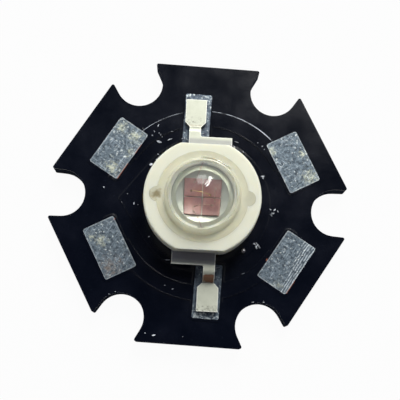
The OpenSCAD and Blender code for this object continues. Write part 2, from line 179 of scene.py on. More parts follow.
# Cured ink: blue-black and glossy, with a fine orange peel of about 0.2 mm, dust and a haze of handling.
# Its shoulders over the ring tracks are rounded, and further out its edges are sharp.
BLACK_INK, in_mm = new_material("solder_mask_black_cured")
peel = add(BLACK_INK, "TexNoise", {"Vector": in_mm, "Scale": 5.0, "Detail": 3.0})
haze = add(BLACK_INK, "TexNoise", {"Vector": in_mm, "Scale": 0.45, "Detail": 5.0, "Roughness": 0.6})
dust = add(BLACK_INK, "TexNoise", {"Vector": in_mm, "Scale": 9.0, "Detail": 3.0, "Roughness": 0.7})
tone = add(BLACK_INK, "MixRGB", {"Fac": haze.outputs["Fac"], "Color1": linear("#02040a"),
                                 "Color2": linear("#080d1c")})
speck = add(BLACK_INK, "MapRange", {"Value": dust.outputs["Fac"], "From Min": 0.68, "From Max": 0.8})
dusty = add(BLACK_INK, "MixRGB", {"Fac": speck.outputs[0], "Color1": tone.outputs[0],
                                  "Color2": linear("#2b3442")})
rough = add(BLACK_INK, "MapRange", {"Value": haze.outputs["Fac"], "From Min": 0.3, "From Max": 0.7,
                                    "To Min": 0.12, "To Max": 0.2})
reach = add(BLACK_INK, "VectorMath", {0: in_mm, 1: (PRINT_X, PRINT_Y, MASK_TOP)}, operation="DISTANCE")
shoulder = add(BLACK_INK, "MapRange", {"Value": reach.outputs["Value"], "From Min": RING_R,
                                       "From Max": RING_R + 0.15, "To Min": 0.06 * MM, "To Max": 0.0})
rolled = add(BLACK_INK, "Bevel", {"Radius": shoulder.outputs[0]}, samples=4)
skin = add(BLACK_INK, "Bump", {"Height": peel.outputs["Fac"], "Strength": 0.15, "Distance": 0.01 * MM,
                               "Normal": rolled.outputs[0]})
finish_material(BLACK_INK, add(BLACK_INK, "BsdfPrincipled", {
    "Base Color": dusty.outputs[0], "Roughness": rough.outputs[0], "Normal": skin.outputs[0]}))
dress("solder_mask", BLACK_INK)

# The press has rolled the board's upper edge over and chipped its ink, so that bare aluminium shows there
# as a hairline, broken every half millimetre or so where the ink has held
BURNISHED_AL, in_mm = new_material("aluminium_burnished_edge")
held = add(BURNISHED_AL, "TexNoise", {"Vector": in_mm, "Scale": 2.2, "Detail": 5.0, "Roughness": 0.7})
kept = add(BURNISHED_AL, "MapRange", {"Value": held.outputs["Fac"], "From Min": 0.5, "From Max": 0.58})
tone = add(BURNISHED_AL, "MixRGB", {"Fac": kept.outputs[0], "Color1": linear("#05070c"),
                                    "Color2": linear("#c3cbdb")})
finish_material(BURNISHED_AL, add(BURNISHED_AL, "BsdfPrincipled", {
    "Base Color": tone.outputs[0], "Metallic": 1.0, "Roughness": 0.35}))
ROLLED_W = 0.04  # how far the bare edge reaches inwards and down
mask = bmesh.new()
mask.from_mesh(nodes["solder_mask"].data)
bmesh.ops.remove_doubles(mask, verts=mask.verts, dist=NEAR * MM)
shape = bmesh.new()
# The strip follows every edge at which the ink's upper face meets the board's outer wall
for line in mask.edges:
    heights = [v.co.z / MM for v in line.verts]
    if max(abs(h - MASK_TOP) for h in heights) > NEAR or len(line.link_faces) != 2:
        continue
    wall = min(line.link_faces, key=lambda face: face.normal.z)
    if wall.normal.z > 0.1 or min(v.co.z for v in wall.verts) / MM > MASK_FOOT + NEAR:
        continue
    a, b = (v.co / MM for v in line.verts)
    inner = -ROLLED_W * wall.normal + Vector((0, 0, 0.001))
    outer = LIFT * wall.normal - Vector((0, 0, ROLLED_W))
    shape.faces.new([shape.verts.new(v) for v in (a + inner, b + inner, b + outer, a + outer)])
mask.free()
for face in shape.faces:
    face.normal_update()
    if face.normal.z < 0:
        face.normal_flip()
place_mesh("rolled_edge", shape, BURNISHED_AL, thick=STRIP_T)

# A painted highlight: where the ink climbs over the rear track's outer edge, a thin pale line is painted on
# as the glint of the light on it, broken here and there
TRACK_GLINT_INK, in_mm = new_material("solder_mask_painted_glint")
gaps = add(TRACK_GLINT_INK, "TexNoise", {"Vector": in_mm, "Scale": 1.7, "Detail": 5.0, "Roughness": 0.7})
kept = add(TRACK_GLINT_INK, "MapRange", {"Value": gaps.outputs["Fac"], "From Min": 0.4, "From Max": 0.56})
tone = add(TRACK_GLINT_INK, "MixRGB", {"Fac": kept.outputs[0], "Color1": linear("#141a24"),
                                  "Color2": linear("#c3cad4")})
finish_material(TRACK_GLINT_INK, add(TRACK_GLINT_INK, "BsdfPrincipled", {
    "Base Color": tone.outputs[0], "Roughness": 0.3}))
ARC_STEPS = 28
shape = bmesh.new()
# Each row holds an arc's first and last angle in degrees and its width at either end
for first, last, width_first, width_last in ((46, 88, 0.07, 0.02), (106, 134, 0.018, 0.026)):
    last_pair = None
    for step in range(ARC_STEPS + 1):
        part = step / ARC_STEPS
        angle = math.radians(first + (last - first) * part)
        half = (width_first + (width_last - width_first) * part) / 2
        pair = [shape.verts.new((PRINT_X + r * math.cos(angle), PRINT_Y + r * math.sin(angle), TRACK_TOP))
                for r in (TRACK_R - half, TRACK_R + half)]
        if last_pair:
            shape.faces.new((last_pair[0], last_pair[1], pair[1], pair[0]))
        last_pair = pair
place_mesh("track_edge_painted_glint", shape, TRACK_GLINT_INK, thick=STRIP_T)


# ---- Tin on the pads ---------------------------------------------------------
# Hot air levelling leaves 25 microns of tin on the four wire pads and the two lead pads. Handling has
# drawn scratches over it, and here and there flux has dried on it.

TIN_TOP = 1.64  # height of the tin's face


def edge_highlight_band(material, width):
    """A painted highlight's strength: a bright band of this width in mm along sharp edges, 0.9 on an edge and
    0 beyond it.
    """
    rounded = add(material, "Bevel", {"Radius": width * MM}, samples=4)
    flat = add(material, "NewGeometry").outputs["Normal"]
    level = add(material, "VectorMath", {0: rounded.outputs[0], 1: flat}, operation="DOT_PRODUCT")
    return add(material, "MapRange", {"Value": level.outputs["Value"], "From Min": 0.99, "From Max": 0.93,
                                      "To Max": 0.9})


# Levelled tin: a frosted blue-grey metal, mottled some tenths of a millimetre wide. Scratches 0.08 mm wide
# and 1 mm long cross it, pits are painted as bright points as glints, and flux has dried to cream patches.
LEVELLED_TIN, in_mm = new_material("tin_hot_levelled")
frost = add(LEVELLED_TIN, "TexNoise", {"Vector": in_mm, "Scale": 4.2, "Detail": 7.0, "Roughness": 0.78})
spread = add(LEVELLED_TIN, "MapRange", {"Value": frost.outputs["Fac"], "From Min": 0.4, "From Max": 0.62})
tone = add(LEVELLED_TIN, "MixRGB", {"Fac": spread.outputs[0], "Color1": linear("#303a44"),
                                    "Color2": linear("#77848e")})
# Each row holds the turn of a set of scratches, its stretch, and where its noise starts to show
for turn, stretch, start in ((0.5, (12, 0.9, 1), 0.6), (-1.0, (14, 1.2, 1), 0.61)):
    turned = add(LEVELLED_TIN, "Mapping", {"Vector": in_mm, "Rotation": (0, 0, turn)})
    drawn = add(LEVELLED_TIN, "VectorMath", {0: turned.outputs[0], 1: stretch}, operation="MULTIPLY")
    lines = add(LEVELLED_TIN, "TexNoise", {"Vector": drawn.outputs[0], "Scale": 1.0, "Detail": 4.0})
    line = add(LEVELLED_TIN, "MapRange", {"Value": lines.outputs["Fac"], "From Min": start,
                                          "From Max": start + 0.12, "To Max": 0.6})
    tone = add(LEVELLED_TIN, "MixRGB", {"Fac": line.outputs[0], "Color1": tone.outputs[0],
                                        "Color2": linear("#b4c0cb")})
# Something hard has dragged along the front right pad and left broken furrows at its outer edge
OUTWARD = (0.936, -0.379, 0)  # the way out from the board's centre to the furrows
DRAG = 0.524                  # their turn in radians
outward = add(LEVELLED_TIN, "VectorMath", {0: in_mm, 1: OUTWARD}, operation="DOT_PRODUCT")
there = add(LEVELLED_TIN, "MapRange", {"Value": outward.outputs["Value"], "From Min": 7.9, "From Max": 8.0})
there = add(LEVELLED_TIN, "Math", {0: there.outputs[0], 1: spread.outputs[0]}, operation="MULTIPLY")
dragged = add(LEVELLED_TIN, "Mapping", {"Vector": in_mm, "Rotation": (0, 0, DRAG)})
furrows = add(LEVELLED_TIN, "TexWave", {"Vector": dragged.outputs[0], "Scale": 1.8, "Distortion": 5.0,
                                        "Detail": 3.0, "Detail Scale": 0.5})
# Each row holds where on the wave a colour starts and where it is full: painted shade in the floors, then
# painted highlights on the burrs
for first, last, colour in ((0.5, 0.2, "#434e58"), (0.55, 0.9, "#dbe2e8")):
    furrow = add(LEVELLED_TIN, "MapRange", {"Value": furrows.outputs["Fac"], "From Min": first,
                                            "From Max": last, "To Max": 0.8})
    furrow = add(LEVELLED_TIN, "Math", {0: furrow.outputs[0], 1: there.outputs[0]}, operation="MULTIPLY")
    tone = add(LEVELLED_TIN, "MixRGB", {"Fac": furrow.outputs[0], "Color1": tone.outputs[0],
                                        "Color2": linear(colour)})
# Flux has dried in ragged cream patches at the pads' corners and, on one pad, brown. Each row holds a
# patch's place, its radius in mm and its colour.
CREAM, DULL_CREAM, GREY, BROWN = "#dcddc0", "#cbccb2", "#9a9c8c", "#85766a"
STAINS = [(-6.3, 2.1, 0.75, CREAM), (-5.1, 3.2, 0.4, CREAM), (-4.8, 4.5, 0.7, CREAM), (-5.9, 5.1, 0.6, CREAM),
          (7.8, 2.5, 0.8, CREAM), (7.2, 4.1, 0.4, CREAM), (4.9, 4.1, 0.5, CREAM),
          (-6.6, -3.2, 0.6, DULL_CREAM), (-7.3, -3.0, 0.35, DULL_CREAM), (6.0, -5.4, 0.5, GREY),
          (-5.75, -5.0, 1.2, BROWN)]
flux = add(LEVELLED_TIN, "TexNoise", {"Vector": in_mm, "Scale": 3.6, "Detail": 8.0, "Roughness": 0.9})
for x, y, reach, colour in STAINS:
    apart = add(LEVELLED_TIN, "VectorMath", {0: in_mm, 1: (x, y, TIN_TOP)}, operation="DISTANCE")
    near = add(LEVELLED_TIN, "MapRange", {"Value": apart.outputs["Value"], "From Min": 1.8 * reach,
                                          "From Max": 0.0, "To Min": -0.2, "To Max": 0.05})
    broken = add(LEVELLED_TIN, "Math", {0: near.outputs[0], 1: flux.outputs["Fac"]}, operation="ADD")
    patch = add(LEVELLED_TIN, "MapRange", {"Value": broken.outputs[0], "From Min": 0.47, "From Max": 0.58,
                                           "To Max": 0.7})
    tone = add(LEVELLED_TIN, "MixRGB", {"Fac": patch.outputs[0], "Color1": tone.outputs[0],
                                        "Color2": linear(colour)})
# Pits painted as bright points, as glints
pit_glint_noise = add(LEVELLED_TIN, "TexNoise", {"Vector": in_mm, "Scale": 7.0, "Detail": 4.0, "Roughness": 0.65})
pit = add(LEVELLED_TIN, "MapRange", {"Value": pit_glint_noise.outputs["Fac"], "From Min": 0.6, "From Max": 0.67})
glint_painted_tone = add(LEVELLED_TIN, "MixRGB", {"Fac": pit.outputs[0], "Color1": tone.outputs[0],
                                      "Color2": linear("#dfe4e2")})
# A bright broken border is painted along the tin's edges as a highlight
tin_edge_highlight = edge_highlight_band(LEVELLED_TIN, 0.11)
gaps = add(LEVELLED_TIN, "MapRange", {"Value": flux.outputs["Fac"], "From Min": 0.42, "From Max": 0.55})
tin_edge_highlight = add(LEVELLED_TIN, "Math", {0: tin_edge_highlight.outputs[0], 1: gaps.outputs[0]}, operation="MULTIPLY")
glint_painted_tone = add(LEVELLED_TIN, "MixRGB", {"Fac": tin_edge_highlight.outputs[0], "Color1": glint_painted_tone.outputs[0],
                                      "Color2": linear("#e6ebeb")})
rough = add(LEVELLED_TIN, "MapRange", {"Value": spread.outputs[0], "To Min": 0.55, "To Max": 0.38})
dents = add(LEVELLED_TIN, "Bump", {"Height": frost.outputs["Fac"], "Strength": 0.6, "Distance": 0.02 * MM})
finish_material(LEVELLED_TIN, add(LEVELLED_TIN, "BsdfPrincipled", {
    "Base Color": glint_painted_tone.outputs[0], "Metallic": 0.6, "Roughness": rough.outputs[0],
    "Normal": dents.outputs[0]}))
for name in ("wire_pad_back_left", "wire_pad_back_right", "wire_pad_front_left", "wire_pad_front_right"):
    dress(name, LEVELLED_TIN)

# Reflowed tin round the leads and the slug: smoother and darker than the wire pads, crusted with bright
# specks of 0.15 mm, thickest at the pads' outer ends
REFLOWED_TIN, in_mm = new_material("tin_reflowed")
frost = add(REFLOWED_TIN, "TexNoise", {"Vector": in_mm, "Scale": 3.0, "Detail": 6.0, "Roughness": 0.7})
spread = add(REFLOWED_TIN, "MapRange", {"Value": frost.outputs["Fac"], "From Min": 0.36, "From Max": 0.66})
tone = add(REFLOWED_TIN, "MixRGB", {"Fac": spread.outputs[0], "Color1": linear("#272c3c"),
                                    "Color2": linear("#6b7884")})
crust = add(REFLOWED_TIN, "TexNoise", {"Vector": in_mm, "Scale": 7.0, "Detail": 4.0, "Roughness": 0.7})
along = add(REFLOWED_TIN, "SeparateXYZ", {0: in_mm}).outputs["Y"]
along = add(REFLOWED_TIN, "Math", {0: along}, operation="ABSOLUTE")
end = add(REFLOWED_TIN, "MapRange", {"Value": along.outputs[0], "From Min": 7.2, "From Max": 7.9,
                                     "To Max": 0.09})
crusted = add(REFLOWED_TIN, "Math", {0: crust.outputs["Fac"], 1: end.outputs[0]}, operation="ADD")
speck = add(REFLOWED_TIN, "MapRange", {"Value": crusted.outputs[0], "From Min": 0.59, "From Max": 0.66,
                                       "To Max": 0.85})
tone = add(REFLOWED_TIN, "MixRGB", {"Fac": speck.outputs[0], "Color1": tone.outputs[0],
                                    "Color2": linear("#d5dcdc")})
dents = add(REFLOWED_TIN, "Bump", {"Height": crust.outputs["Fac"], "Strength": 0.5, "Distance": 0.02 * MM})
finish_material(REFLOWED_TIN, add(REFLOWED_TIN, "BsdfPrincipled", {
    "Base Color": tone.outputs[0], "Metallic": 0.6, "Roughness": 0.42, "Normal": dents.outputs[0]}))
for name in ("lead_pad_back", "lead_pad_front", "lead_solder_back", "lead_solder_front", "slug_solder"):
    dress(name, REFLOWED_TIN)

# Copper hairlines show where mask and tin don't quite meet beside three pads
shape = bmesh.new()
# Each row holds a line's two ends and its width
for x0, y0, x1, y1, width in ((-5.86, 1.3, -5.2, 2.45, 0.035), (-4.75, 3.2, -4.35, 3.9, 0.025),
                              (6.6, -5.95, 7.15, -5.0, 0.03), (5.05, -3.75, 5.13, -3.62, 0.06),
                              (-5.85, -1.7, -5.75, -1.54, 0.035)):
    off = Vector((y0 - y1, x1 - x0, 0)).normalized() * width / 2
    ends = [Vector((x, y, TIN_TOP + LIFT)) for x, y in ((x0, y0), (x1, y1))]
    outline = (ends[0] + off, ends[0] - off, ends[1] - off, ends[1] + off)
    shape.faces.new([shape.verts.new(v) for v in outline])
place_mesh("bared_copper", shape, ETCHED_COPPER, thick=STRIP_T)


# ---- Heat slug ---------------------------------------------------------------
# A turned copper slug carries the chips' heat down to the board. It is silver plated, and the cup pressed
# into its top throws the chips' light upwards.

EMITTER = Vector((0.24, -0.07, 1.645))  # the emitter's axis and the height of its seat
CUP_RIM = 1.2                           # radius of the rim of the cup


def off_axis(material, in_mm):
    """The way from the emitter's seat to a point of the surface, and how far the point is off the axis."""
    way = add(material, "VectorMath", {0: in_mm, 1: EMITTER}, operation="SUBTRACT").outputs[0]
    across = add(material, "VectorMath", {0: way, 1: (1, 1, 0)}, operation="MULTIPLY").outputs[0]
    return way, add(material, "VectorMath", {0: across}, operation="LENGTH").outputs["Value"]


# Plated silver inside the optic: bright and faintly warm in the cup. On the slope outside its rim a grey is
# painted as shade, deepening towards the rear
CUP_SILVER, in_mm = new_material("silver_plated_pressed")
way, radius = off_axis(CUP_SILVER, in_mm)
outside = add(CUP_SILVER, "MapRange", {"Value": radius, "From Min": CUP_RIM, "From Max": CUP_RIM + 0.08})
rearward = add(CUP_SILVER, "SeparateXYZ", {0: way}).outputs["Y"]
rear_painted_shade = add(CUP_SILVER, "MapRange", {"Value": rearward, "From Min": -0.9, "From Max": 0.5})
slope = add(CUP_SILVER, "MixRGB", {"Fac": rear_painted_shade.outputs[0], "Color1": linear("#d9d9c8"),
                                   "Color2": linear("#b3b9ae")})
tone = add(CUP_SILVER, "MixRGB", {"Fac": outside.outputs[0], "Color1": linear("#cfd1c6"),
                                  "Color2": slope.outputs[0]})
rings = add(CUP_SILVER, "TexNoise", {"Vector": in_mm, "Scale": 12.0, "Detail": 3.0})
dents = add(CUP_SILVER, "Bump", {"Height": rings.outputs["Fac"], "Strength": 0.2, "Distance": 0.004 * MM})
finish_material(CUP_SILVER, add(CUP_SILVER, "BsdfPrincipled", {
    "Base Color": tone.outputs[0], "Metallic": 1.0, "Roughness": 0.44, "Normal": dents.outputs[0]}))
dress("heat_slug", CUP_SILVER)


# ---- Moulded body ------------------------------------------------------------
# Polyphthalamide is moulded round the lead frame and the slug. It is ivory, filled with white pigment,
# and satin from the tool, with the lens recess, the ear pockets and the two flats moulded in.

RECESS_R = 3.0  # the floor of the lens recess reaches about this far

# Moulded polyphthalamide: warm ivory with faint flow clouds about 2 mm long. Light spreads some tenths of a
# millimetre inside it, which rounds its edges and fills its shadows. Under the lens a paler ivory is
# painted on as light.
IVORY_PPA, in_mm = new_material("ppa_moulded_ivory")
clouds = add(IVORY_PPA, "TexNoise", {"Vector": in_mm, "Scale": 0.6, "Detail": 3.0})
texture = add(IVORY_PPA, "TexNoise", {"Vector": in_mm, "Scale": 18.0, "Detail": 2.0})
tone = add(IVORY_PPA, "MixRGB", {"Fac": clouds.outputs["Fac"], "Color1": linear("#dcdbc6"),
                                 "Color2": linear("#e7e6d7")})
_, radius = off_axis(IVORY_PPA, in_mm)
outside = add(IVORY_PPA, "MapRange", {"Value": radius, "From Min": RECESS_R, "From Max": RECESS_R + 0.15})
recess_painted_light = add(IVORY_PPA, "MixRGB", {"Fac": outside.outputs[0], "Color1": linear("#fffbe4"),
                                  "Color2": tone.outputs[0]})
grain = add(IVORY_PPA, "Bump", {"Height": texture.outputs["Fac"], "Strength": 0.2, "Distance": 0.008 * MM})
finish_material(IVORY_PPA, add(IVORY_PPA, "BsdfPrincipled", {
    "Base Color": recess_painted_light.outputs[0], "Roughness": 0.45, "IOR": 1.55, "Subsurface Weight": 1.0,
    "Subsurface Radius": (1.0, 0.92, 0.75), "Subsurface Scale": 0.4 * MM, "Normal": grain.outputs[0]}))
dress("emitter_body", IVORY_PPA)


# ---- Leads -------------------------------------------------------------------
# Two strips of 0.4 mm copper are punched, silver plated, moulded into the body and bent down to their pads,
# where solder holds their feet. At the bends the plating has thinned, so a little copper shows through.

# Matt silver plate on bent copper strip: a greyish cream with pits of 0.06 mm. It has rubbed off where the
# foot bends out, in a broad brown patch on the front lead and a thin line on the back one.
LEAD_SILVER, in_mm = new_material("silver_plated_matt")
wear = add(LEAD_SILVER, "TexNoise", {"Vector": in_mm, "Scale": 2.2, "Detail": 5.0})
grit = add(LEAD_SILVER, "TexNoise", {"Vector": in_mm, "Scale": 16.0, "Detail": 3.0})
tone = add(LEAD_SILVER, "MixRGB", {"Fac": wear.outputs["Fac"], "Color1": linear("#b8baa9"),
                                   "Color2": linear("#cfd0c1")})
pit = add(LEAD_SILVER, "MapRange", {"Value": grit.outputs["Fac"], "From Min": 0.62, "From Max": 0.72,
                                    "To Max": 0.35})
worn = add(LEAD_SILVER, "MixRGB", {"Fac": pit.outputs[0], "Color1": tone.outputs[0],
                                   "Color2": linear("#8d8c80")})
along = add(LEAD_SILVER, "SeparateXYZ", {0: in_mm}).outputs["Y"]
# Copper shows in a ragged band. Each row holds its place along the leads, half its width and its strength.
ragged = add(LEAD_SILVER, "MapRange", {"Value": wear.outputs["Fac"], "To Min": -0.2, "To Max": 0.2})
rubbed = add(LEAD_SILVER, "MixRGB", {"Fac": grit.outputs["Fac"], "Color1": linear("#37302f"),
                                     "Color2": linear("#b87a56")})
for centre, half, amount in ((-5.42, 0.2, 0.95), (5.46, 0.05, 0.25)):
    off = add(LEAD_SILVER, "Math", {0: along, 1: centre}, operation="SUBTRACT")
    off = add(LEAD_SILVER, "Math", {0: off.outputs[0]}, operation="ABSOLUTE")
    off = add(LEAD_SILVER, "Math", {0: off.outputs[0], 1: ragged.outputs[0]}, operation="ADD")
    band = add(LEAD_SILVER, "MapRange", {"Value": off.outputs[0], "From Min": half + 0.04,
                                         "From Max": half - 0.04, "To Max": amount})
    worn = add(LEAD_SILVER, "MixRGB", {"Fac": band.outputs[0], "Color1": worn.outputs[0],
                                       "Color2": rubbed.outputs[0]})
# The tabs beside the body are darkened to grey, and over the front tab a deeper violet is painted as the
# body's shadow
close = add(LEAD_SILVER, "Math", {0: along}, operation="ABSOLUTE")
tab_darkening = add(LEAD_SILVER, "MapRange", {"Value": close.outputs[0], "From Min": 4.35, "From Max": 4.2,
                                     "To Max": 0.5})
worn = add(LEAD_SILVER, "MixRGB", {"Fac": tab_darkening.outputs[0], "Color1": worn.outputs[0],
                                   "Color2": linear("#82808a")})
in_front = add(LEAD_SILVER, "MapRange", {"Value": along, "From Min": 0.0, "From Max": -0.1})
tab_darkening = add(LEAD_SILVER, "MapRange", {"Value": close.outputs[0], "From Min": 4.58, "From Max": 4.46,
                                     "To Max": 0.65})
tab_darkening = add(LEAD_SILVER, "Math", {0: in_front.outputs[0], 1: tab_darkening.outputs[0]}, operation="MULTIPLY")
worn = add(LEAD_SILVER, "MixRGB", {"Fac": tab_darkening.outputs[0], "Color1": worn.outputs[0],
                                   "Color2": linear("#5c5a6a")})
# The iron has sooted the front foot's end and the back foot's root in specks. Each row holds where along
# the leads the soot starts, where it is full, and the level of noise from which a speck shows.
soot = add(LEAD_SILVER, "TexNoise", {"Vector": in_mm, "Scale": 5.0, "Detail": 5.0, "Roughness": 0.75})
for first, last, start in ((-7.15, -7.3, 0.5), (6.2, 5.8, 0.52)):
    near = add(LEAD_SILVER, "MapRange", {"Value": along, "From Min": first, "From Max": last})
    spots = add(LEAD_SILVER, "MapRange", {"Value": soot.outputs["Fac"], "From Min": start,
                                          "From Max": start + 0.12, "To Max": 0.75})
    sooted = add(LEAD_SILVER, "Math", {0: near.outputs[0], 1: spots.outputs[0]}, operation="MULTIPLY")
    if first > 0:  # on the back foot it ends at the bend
        past = add(LEAD_SILVER, "MapRange", {"Value": along, "From Min": 5.4, "From Max": 5.6})
        sooted = add(LEAD_SILVER, "Math", {0: sooted.outputs[0], 1: past.outputs[0]}, operation="MULTIPLY")
    worn = add(LEAD_SILVER, "MixRGB", {"Fac": sooted.outputs[0], "Color1": worn.outputs[0],
                                       "Color2": linear("#4d4940")})
# A bright band is painted along every edge as a highlight
bright = edge_highlight_band(LEAD_SILVER, 0.1)
worn = add(LEAD_SILVER, "MixRGB", {"Fac": bright.outputs[0], "Color1": worn.outputs[0],
                                   "Color2": linear("#fbfbf4")})
dents = add(LEAD_SILVER, "Bump", {"Height": grit.outputs["Fac"], "Strength": 0.3, "Distance": 0.008 * MM})
finish_material(LEAD_SILVER, add(LEAD_SILVER, "BsdfPrincipled", {
    "Base Color": worn.outputs[0], "Metallic": 0.65, "Roughness": 0.5, "Normal": dents.outputs[0]}))
for name in ("lead_back", "lead_front"):
    dress(name, LEAD_SILVER)


# ---- Chips -------------------------------------------------------------------
# Four square chips of gallium arsenide, two by two, are glued to the floor of the cup with silver epoxy,
# which carries their heat into the slug. They work in series.

# Silver-filled epoxy: grey paste that glitters with flakes of 0.025 mm
SILVER_EPOXY, in_mm = new_material("epoxy_silver_filled")
flakes = add(SILVER_EPOXY, "TexNoise", {"Vector": in_mm, "Scale": 40.0, "Detail": 2.0})
tone = add(SILVER_EPOXY, "MixRGB", {"Fac": flakes.outputs["Fac"], "Color1": linear("#7c7c78"),
                                    "Color2": linear("#b0b0aa")})
finish_material(SILVER_EPOXY, add(SILVER_EPOXY, "BsdfPrincipled", {
    "Base Color": tone.outputs[0], "Metallic": 0.6, "Roughness": 0.5}))
dress("chip_adhesive", SILVER_EPOXY)

# Gallium arsenide, sawn and polished: dark red and glossy, clouded with a paler red about 0.6 mm wide
RED_CHIP, in_mm = new_material("gallium_arsenide_polished")
cast = add(RED_CHIP, "TexNoise", {"Vector": in_mm, "Scale": 1.6, "Detail": 4.0, "Roughness": 0.6})
spread = add(RED_CHIP, "MapRange", {"Value": cast.outputs["Fac"], "From Min": 0.32, "From Max": 0.68})
tone = add(RED_CHIP, "MixRGB", {"Fac": spread.outputs[0], "Color1": linear("#864c4f"),
                                "Color2": linear("#bb8076")})
finish_material(RED_CHIP, add(RED_CHIP, "BsdfPrincipled", {
    "Base Color": tone.outputs[0], "Roughness": 0.27, "IOR": 1.8}))
for name in ("chip_back_left", "chip_back_right", "chip_front_right", "chip_front_left"):
    dress(name, RED_CHIP)


# ---- Bond wires --------------------------------------------------------------
# Gold wire of 30 microns joins the leads' bond tips and the chips in series. Each wire is welded on with a
# ball at one end and a stitch at the other, and arches between them through the gel.

# Drawn gold with fine die lines, as a lit and a shaded copy: the one wire that glints is glossy and painted a
# pale bright gold as its highlight, and the others are rough and painted a dim rose as wires in shade. Each
# row holds a finish's name, roughness and colour, and its wires.
for finish, smooth, colour, names in (
        ("glossy", 0.12, "#ffe6a8", ("bond_wire_back",)),
        ("rough_painted_dim", 0.5, "#bb9a8c", ("bond_wire_in", "bond_wire_right", "bond_wire_front", "bond_wire_out"))):
    DRAWN_GOLD, in_mm = new_material("gold_drawn_" + finish)
    die_lines = add(DRAWN_GOLD, "TexNoise", {"Vector": in_mm, "Scale": 60.0})
    rough = add(DRAWN_GOLD, "MapRange", {"Value": die_lines.outputs["Fac"], "To Min": smooth,
                                         "To Max": smooth + 0.1})
    finish_material(DRAWN_GOLD, add(DRAWN_GOLD, "BsdfPrincipled", {
        "Base Color": linear(colour), "Metallic": 1.0, "Roughness": rough.outputs[0]}))
    for name in names:
        dress(name, DRAWN_GOLD)


# ---- Lens and gel ------------------------------------------------------------
# The clear dome is moulded polycarbonate and snaps into the body by two ears. Silicone gel of nearly the
# same index fills the hollow under it, so the two are one optical body, which is how they are made here.

TURN = math.radians(1.2)           # the emitter's turn on the board
DOME_R, DOME_Z = 2.65, 2.755       # the sphere of the dome
FILLET = 0.12                      # between dome and flange
FLANGE_R, FLANGE_TOP = 3.15, 3.11  # rim of the flange, pressed against the recess wall
EAR_X, EAR_R = 3.1, 0.53           # the two ears
EAR_SPAN = 9.9                     # half the angle that an ear spans at the axis
RECESS_Z = 2.87                    # underside of the flange
WELL_R, WELL_Z = 1.95, 2.23        # the gel's well down to the cup
HUB_R = 0.6                        # a ring that keeps the well floor's triangles short
POST_R, POST_L = 0.27, 0.35        # the post under each ear
SINK = 0.02                        # how far the optic's underside sits in what it wets
HAZE_TOP = 4.0                     # the haze reaches this far up the dome's foot
GLINT = (48, 96)                   # the fillet is clear between these angles, in degrees
BROWN_EAR_MARK = (-2.88, -0.15, 4.755)     # the brown mark, at the left ear's root
DOME_STEPS, FILLET_STEPS = 32, 6   # rings that make up the dome and its fillet
EAR_STEPS, OPEN_STEPS = 12, 40     # points of a ring over half an ear, and on to the quarter turn


def flange_edge(angle):
    """The radius of the flange's outline at an angle, out over the ears."""
    best = FLANGE_R
    for side in (0, math.pi):
        off = angle - side
        across = EAR_X * math.sin(off)
        if math.cos(off) > 0 and abs(across) < EAR_R:
            best = max(best, EAR_X * math.cos(off) + math.sqrt(EAR_R ** 2 - across ** 2))
    return best


def optic_rings():
    """Radius and height of each ring, from the apex over the dome to the centre of the underside. A radius
    of None follows the flange's outline."""
    rings = []
    join = math.degrees(math.asin((FLANGE_TOP + FILLET - DOME_Z) / (DOME_R + FILLET)))
    for step in range(1, DOME_STEPS + 1):
        a = math.radians(90 - (90 - join) * step / DOME_STEPS)
        rings.append((DOME_R * math.cos(a), DOME_Z + DOME_R * math.sin(a)))
    foot_r = (DOME_R + FILLET) * math.cos(math.radians(join))
    for step in range(1, FILLET_STEPS + 1):
        a = math.radians(180 + join + (90 - join) * step / FILLET_STEPS)
        rings.append((foot_r + FILLET * math.cos(a), FLANGE_TOP + FILLET + FILLET * math.sin(a)))
    rings += [(None, FLANGE_TOP), (None, RECESS_Z - SINK), (WELL_R, RECESS_Z - SINK), (WELL_R, WELL_Z),
              (HUB_R, WELL_Z)]
    return rings


# The angles at which every ring has a point, closer together at the ears
EDGE_ANGLES = []
for quarter in range(4):
    near_ear = [math.radians(EAR_SPAN * k / EAR_STEPS) for k in range(EAR_STEPS)]
    rest = [math.radians(EAR_SPAN + (90 - EAR_SPAN) * k / OPEN_STEPS) for k in range(OPEN_STEPS + 1)]
    turn = near_ear + rest[:-1]
    if quarter % 2:
        turn = [math.radians(90) - a for a in reversed(near_ear[1:] + rest)]
    EDGE_ANGLES += [a + quarter * math.pi / 2 for a in turn]

# The dome and flange, then the posts, then the two made one
shape = bmesh.new()
apex = shape.verts.new((0, 0, DOME_Z + DOME_R))
last = None
for radius, height in optic_rings():
    reach = [flange_edge(a) if radius is None else radius for a in EDGE_ANGLES]
    ring = [shape.verts.new((r * math.cos(a), r * math.sin(a), height)) for a, r in zip(EDGE_ANGLES, reach)]
    for k in range(len(ring)):
        nxt = (k + 1) % len(ring)
        if last is None:
            shape.faces.new((apex, ring[k], ring[nxt]))
        else:
            shape.faces.new((last[k], ring[k], ring[nxt], last[nxt]))
    last = ring
bottom = shape.verts.new((0, 0, WELL_Z))
for k in range(len(last)):
    shape.faces.new((bottom, last[(k + 1) % len(last)], last[k]))
bmesh.ops.recalc_face_normals(shape, faces=shape.faces[:])
posts = bmesh.new()
for side in (-1, 1):
    at = Matrix.Translation((side * EAR_X, 0, RECESS_Z - POST_L / 2 + SINK))
    bmesh.ops.create_cone(posts, cap_ends=True, segments=48, radius1=POST_R, radius2=POST_R,
                          depth=POST_L + 2 * SINK, matrix=at)
solids = []
for name, solid in (("optic", shape), ("posts", posts)):
    solid.transform(Matrix.Translation(EMITTER) @ Matrix.Rotation(TURN, 4, "Z"))
    solid.transform(Matrix.Scale(MM, 4))
    mesh = bpy.data.meshes.new(name)
    solid.to_mesh(mesh)
    solid.free()
    solids.append(bpy.data.objects.new(name, mesh))
    bpy.context.scene.collection.objects.link(solids[-1])
optic, posts = solids
